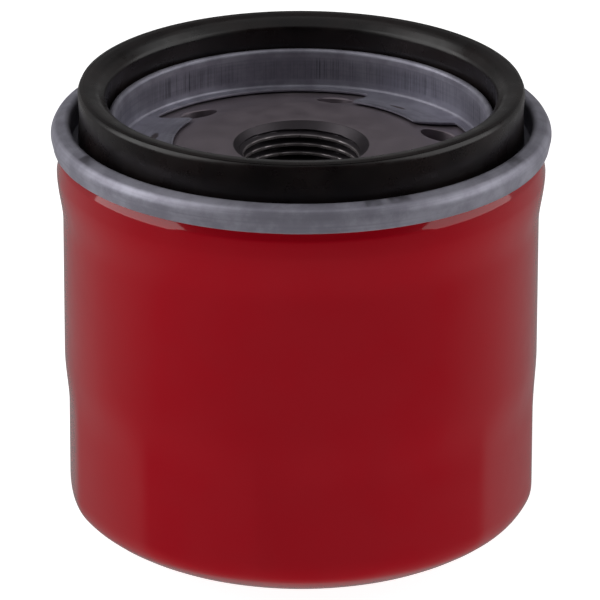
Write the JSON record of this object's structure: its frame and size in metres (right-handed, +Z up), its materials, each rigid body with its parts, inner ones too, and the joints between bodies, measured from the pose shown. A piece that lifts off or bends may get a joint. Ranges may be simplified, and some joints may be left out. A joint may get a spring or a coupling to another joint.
{
  "type": "spin-on oil filter",
  "caption": "Spin-on oil filter for a small engine: red fluted can, seamed lid, threaded base plate with inlet holes, tall rubber gasket and a sprung filter element.",
  "frame": {"origin": "middle of the flat end of the can that the filter stands on, at the bottom centre of its box", "axes": "+Z up the thread's axis, from the can's closed end to the gasket; +X and +Y across it"},
  "size_m": [0.08, 0.08, 0.0764],
  "materials": {
    "red_paint": "gloss",
    "zinc_plate": "satin",
    "lining_compound": "matte",
    "phosphated_steel": "satin",
    "black_rubber": "satin",
    "nitrile_rubber": "matte",
    "spring_steel": "satin",
    "pressed_steel": "satin",
    "plastisol": "matte",
    "filter_paper": "matte",
    "nylon": "satin"
  },
  "bodies": {
    "shell": {"can": "red_paint", "seaming_lid": "zinc_plate", "seam_sealant": "lining_compound", "base_plate": "phosphated_steel", "gasket": "black_rubber", "anti_drain_valve": "nitrile_rubber", "support_spring": "spring_steel"},
    "element": {"upper_end_cap": "pressed_steel", "upper_cap_adhesive": "plastisol", "pleated_media": "filter_paper", "media_seam_clip": "pressed_steel", "centre_tube": "pressed_steel", "lower_cap_adhesive": "plastisol", "lower_end_cap": "pressed_steel", "bypass_valve_seat": "pressed_steel", "bypass_valve_cage": "pressed_steel", "bypass_spring": "spring_steel"},
    "bypass_valve": {"bypass_valve_poppet": "nylon", "bypass_valve_seal": "nitrile_rubber"}
  },
  "joints": [
    {"name": "element_float", "type": "slide", "parent": "shell", "child": "element", "axis": [0, 0, -1], "range_m": [0, 0.0012], "stiffness_N_per_m": 8000, "springref_m": -0.004, "deforming": ["support_spring"]},
    {"name": "bypass_lift", "type": "slide", "parent": "element", "child": "bypass_valve", "axis": [0, 0, 1], "range_m": [0, 0.003], "stiffness_N_per_m": 3500, "springref_m": -0.002, "deforming": ["bypass_spring"]}
  ]
}
